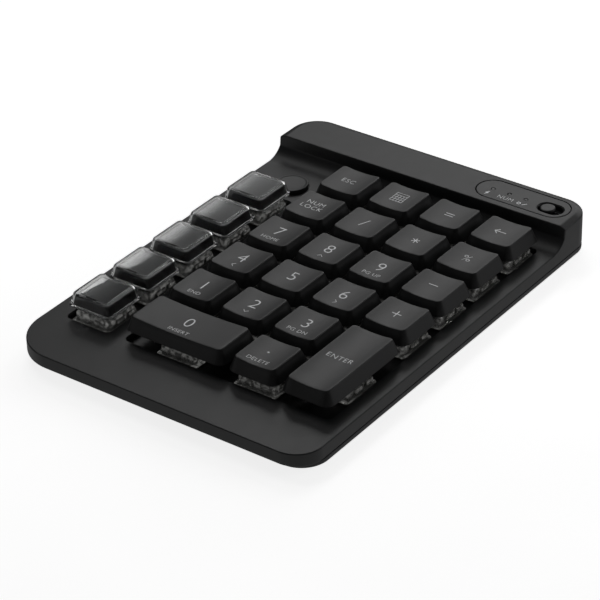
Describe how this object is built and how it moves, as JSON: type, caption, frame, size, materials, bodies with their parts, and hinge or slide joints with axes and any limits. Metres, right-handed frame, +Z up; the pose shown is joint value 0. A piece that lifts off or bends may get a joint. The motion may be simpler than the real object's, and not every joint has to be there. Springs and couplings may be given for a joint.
{
  "type": "numeric keypad",
  "caption": "Low desktop numeric keypad: square dished keys in a rounded slab case, a column of clear-capped keys at the left, and a raised rear bar with a status panel and slide switch.",
  "frame": {"origin": "on the desk, under the middle of the case's outline", "axes": "+X to the user's right, +Y away from the user, +Z up"},
  "size_m": [0.11, 0.1554, 0.0152],
  "materials": {
    "case_plastic": "fine matt dark grey",
    "panel_plastic": "smooth satin dark grey",
    "keycap_plastic": "fine matt, nearly black",
    "clear_plastic": "polished and see-through",
    "key_base_plastic": "smooth dark grey",
    "switch_plastic": "satin dark grey",
    "circuit_board": "green solder mask",
    "plate_steel": "black powder coat",
    "screw_steel": "black oxide",
    "socket_steel": "plain pressed steel",
    "wire_steel": "drawn spring wire",
    "foot_rubber": "matt black",
    "battery_foil": "dull pouch foil",
    "ribbon": "amber film"
  },
  "bodies": {
    "case": {"top_case": "case_plastic", "bottom_cover": "case_plastic", "screw_front_left": "screw_steel", "screw_front_right": "screw_steel", "screw_rear_left": "screw_steel", "screw_rear_right": "screw_steel", "foot_front_left": "foot_rubber", "foot_front_right": "foot_rubber", "foot_rear_left": "foot_rubber", "foot_rear_right": "foot_rubber", "badge_disc": "panel_plastic", "status_panel": "panel_plastic", "light_guide": "clear_plastic", "status_board": "circuit_board", "usb_socket": "socket_steel", "battery": "battery_foil", "flex_cable": "ribbon", "circuit_board": "circuit_board", "switch_plate": "plate_steel", "clear_switch_bank": "switch_plastic", "switch_bank_1": "switch_plastic", "switch_bank_2": "switch_plastic", "switch_bank_3": "switch_plastic", "switch_bank_4": "switch_plastic"},
    "key_escape": {"key_escape": "keycap_plastic"},
    "key_calculator": {"key_calculator": "keycap_plastic"},
    "key_equals": {"key_equals": "keycap_plastic"},
    "key_backspace": {"key_backspace": "keycap_plastic"},
    "key_num_lock": {"key_num_lock": "keycap_plastic"},
    "key_divide": {"key_divide": "keycap_plastic"},
    "key_multiply": {"key_multiply": "keycap_plastic"},
    "key_percent": {"key_percent": "keycap_plastic"},
    "key_7": {"key_7": "keycap_plastic"},
    "key_8": {"key_8": "keycap_plastic"},
    "key_9": {"key_9": "keycap_plastic"},
    "key_minus": {"key_minus": "keycap_plastic"},
    "key_4": {"key_4": "keycap_plastic"},
    "key_5": {"key_5": "keycap_plastic"},
    "key_6": {"key_6": "keycap_plastic"},
    "key_plus": {"key_plus": "keycap_plastic"},
    "key_1": {"key_1": "keycap_plastic"},
    "key_2": {"key_2": "keycap_plastic"},
    "key_3": {"key_3": "keycap_plastic"},
    "key_enter": {"key_enter": "keycap_plastic"},
    "key_0": {"key_0": "keycap_plastic"},
    "key_decimal": {"key_decimal": "keycap_plastic"},
    "clear_key_1": {"clear_cover_1": "clear_plastic", "clear_key_base_1": "key_base_plastic"},
    "clear_key_2": {"clear_cover_2": "clear_plastic", "clear_key_base_2": "key_base_plastic"},
    "clear_key_3": {"clear_cover_3": "clear_plastic", "clear_key_base_3": "key_base_plastic"},
    "clear_key_4": {"clear_cover_4": "clear_plastic", "clear_key_base_4": "key_base_plastic"},
    "clear_key_5": {"clear_cover_5": "clear_plastic", "clear_key_base_5": "key_base_plastic"},
    "mode_slider": {"mode_slider": "keycap_plastic"},
    "zero_stabiliser": {"zero_stabiliser": "wire_steel"},
    "enter_stabiliser": {"enter_stabiliser": "wire_steel"}
  },
  "joints": [
    {"name": "key_escape_press", "type": "slide", "parent": "case", "child": "key_escape", "axis": [0, 0, -1], "range_m": [0, 0.0028], "stiffness_N_per_m": 180, "springref_m": -0.001},
    {"name": "key_calculator_press", "type": "slide", "parent": "case", "child": "key_calculator", "axis": [0, 0, -1], "range_m": [0, 0.0028], "stiffness_N_per_m": 180, "springref_m": -0.001},
    {"name": "key_equals_press", "type": "slide", "parent": "case", "child": "key_equals", "axis": [0, 0, -1], "range_m": [0, 0.0028], "stiffness_N_per_m": 180, "springref_m": -0.001},
    {"name": "key_backspace_press", "type": "slide", "parent": "case", "child": "key_backspace", "axis": [0, 0, -1], "range_m": [0, 0.0028], "stiffness_N_per_m": 180, "springref_m": -0.001},
    {"name": "key_num_lock_press", "type": "slide", "parent": "case", "child": "key_num_lock", "axis": [0, 0, -1], "range_m": [0, 0.0028], "stiffness_N_per_m": 180, "springref_m": -0.001},
    {"name": "key_divide_press", "type": "slide", "parent": "case", "child": "key_divide", "axis": [0, 0, -1], "range_m": [0, 0.0028], "stiffness_N_per_m": 180, "springref_m": -0.001},
    {"name": "key_multiply_press", "type": "slide", "parent": "case", "child": "key_multiply", "axis": [0, 0, -1], "range_m": [0, 0.0028], "stiffness_N_per_m": 180, "springref_m": -0.001},
    {"name": "key_percent_press", "type": "slide", "parent": "case", "child": "key_percent", "axis": [0, 0, -1], "range_m": [0, 0.0028], "stiffness_N_per_m": 180, "springref_m": -0.001},
    {"name": "key_7_press", "type": "slide", "parent": "case", "child": "key_7", "axis": [0, 0, -1], "range_m": [0, 0.0028], "stiffness_N_per_m": 180, "springref_m": -0.001},
    {"name": "key_8_press", "type": "slide", "parent": "case", "child": "key_8", "axis": [0, 0, -1], "range_m": [0, 0.0028], "stiffness_N_per_m": 180, "springref_m": -0.001},
    {"name": "key_9_press", "type": "slide", "parent": "case", "child": "key_9", "axis": [0, 0, -1], "range_m": [0, 0.0028], "stiffness_N_per_m": 180, "springref_m": -0.001},
    {"name": "key_minus_press", "type": "slide", "parent": "case", "child": "key_minus", "axis": [0, 0, -1], "range_m": [0, 0.0028], "stiffness_N_per_m": 180, "springref_m": -0.001},
    {"name": "key_4_press", "type": "slide", "parent": "case", "child": "key_4", "axis": [0, 0, -1], "range_m": [0, 0.0028], "stiffness_N_per_m": 180, "springref_m": -0.001},
    {"name": "key_5_press", "type": "slide", "parent": "case", "child": "key_5", "axis": [0, 0, -1], "range_m": [0, 0.0028], "stiffness_N_per_m": 180, "springref_m": -0.001},
    {"name": "key_6_press", "type": "slide", "parent": "case", "child": "key_6", "axis": [0, 0, -1], "range_m": [0, 0.0028], "stiffness_N_per_m": 180, "springref_m": -0.001},
    {"name": "key_plus_press", "type": "slide", "parent": "case", "child": "key_plus", "axis": [0, 0, -1], "range_m": [0, 0.0028], "stiffness_N_per_m": 180, "springref_m": -0.001},
    {"name": "key_1_press", "type": "slide", "parent": "case", "child": "key_1", "axis": [0, 0, -1], "range_m": [0, 0.0028], "stiffness_N_per_m": 180, "springref_m": -0.001},
    {"name": "key_2_press", "type": "slide", "parent": "case", "child": "key_2", "axis": [0, 0, -1], "range_m": [0, 0.0028], "stiffness_N_per_m": 180, "springref_m": -0.001},
    {"name": "key_3_press", "type": "slide", "parent": "case", "child": "key_3", "axis": [0, 0, -1], "range_m": [0, 0.0028], "stiffness_N_per_m": 180, "springref_m": -0.001},
    {"name": "key_enter_press", "type": "slide", "parent": "case", "child": "key_enter", "axis": [0, 0, -1], "range_m": [0, 0.0028], "stiffness_N_per_m": 180, "springref_m": -0.001},
    {"name": "key_0_press", "type": "slide", "parent": "case", "child": "key_0", "axis": [0, 0, -1], "range_m": [0, 0.0028], "stiffness_N_per_m": 180, "springref_m": -0.001},
    {"name": "key_decimal_press", "type": "slide", "parent": "case", "child": "key_decimal", "axis": [0, 0, -1], "range_m": [0, 0.0028], "stiffness_N_per_m": 180, "springref_m": -0.001},
    {"name": "clear_key_1_press", "type": "slide", "parent": "case", "child": "clear_key_1", "axis": [0, 0, -1], "range_m": [0, 0.0028], "stiffness_N_per_m": 180, "springref_m": -0.001},
    {"name": "clear_key_2_press", "type": "slide", "parent": "case", "child": "clear_key_2", "axis": [0, 0, -1], "range_m": [0, 0.0028], "stiffness_N_per_m": 180, "springref_m": -0.001},
    {"name": "clear_key_3_press", "type": "slide", "parent": "case", "child": "clear_key_3", "axis": [0, 0, -1], "range_m": [0, 0.0028], "stiffness_N_per_m": 180, "springref_m": -0.001},
    {"name": "clear_key_4_press", "type": "slide", "parent": "case", "child": "clear_key_4", "axis": [0, 0, -1], "range_m": [0, 0.0028], "stiffness_N_per_m": 180, "springref_m": -0.001},
    {"name": "clear_key_5_press", "type": "slide", "parent": "case", "child": "clear_key_5", "axis": [0, 0, -1], "range_m": [0, 0.0028], "stiffness_N_per_m": 180, "springref_m": -0.001},
    {"name": "mode_slider_shift", "type": "slide", "parent": "case", "child": "mode_slider", "axis": [1, 0, 0], "range_m": [0, 0.0024]},
    {"name": "zero_stabiliser_rock", "type": "hinge", "parent": "case", "child": "zero_stabiliser", "pos_m": [-0.00747, -0.0405, 0.0064], "axis": [1, 0, 0], "range_deg": [0, 19.6]},
    {"name": "enter_stabiliser_rock", "type": "hinge", "parent": "case", "child": "enter_stabiliser", "pos_m": [0.03215, -0.03898, 0.0064], "axis": [0, 1, 0], "range_deg": [0, 19.6]}
  ],
  "couplings": [
    {"joint": "zero_stabiliser_rock", "follows": "key_0_press", "rad_per_m": 120.8},
    {"joint": "enter_stabiliser_rock", "follows": "key_enter_press", "rad_per_m": 120.8}
  ]
}
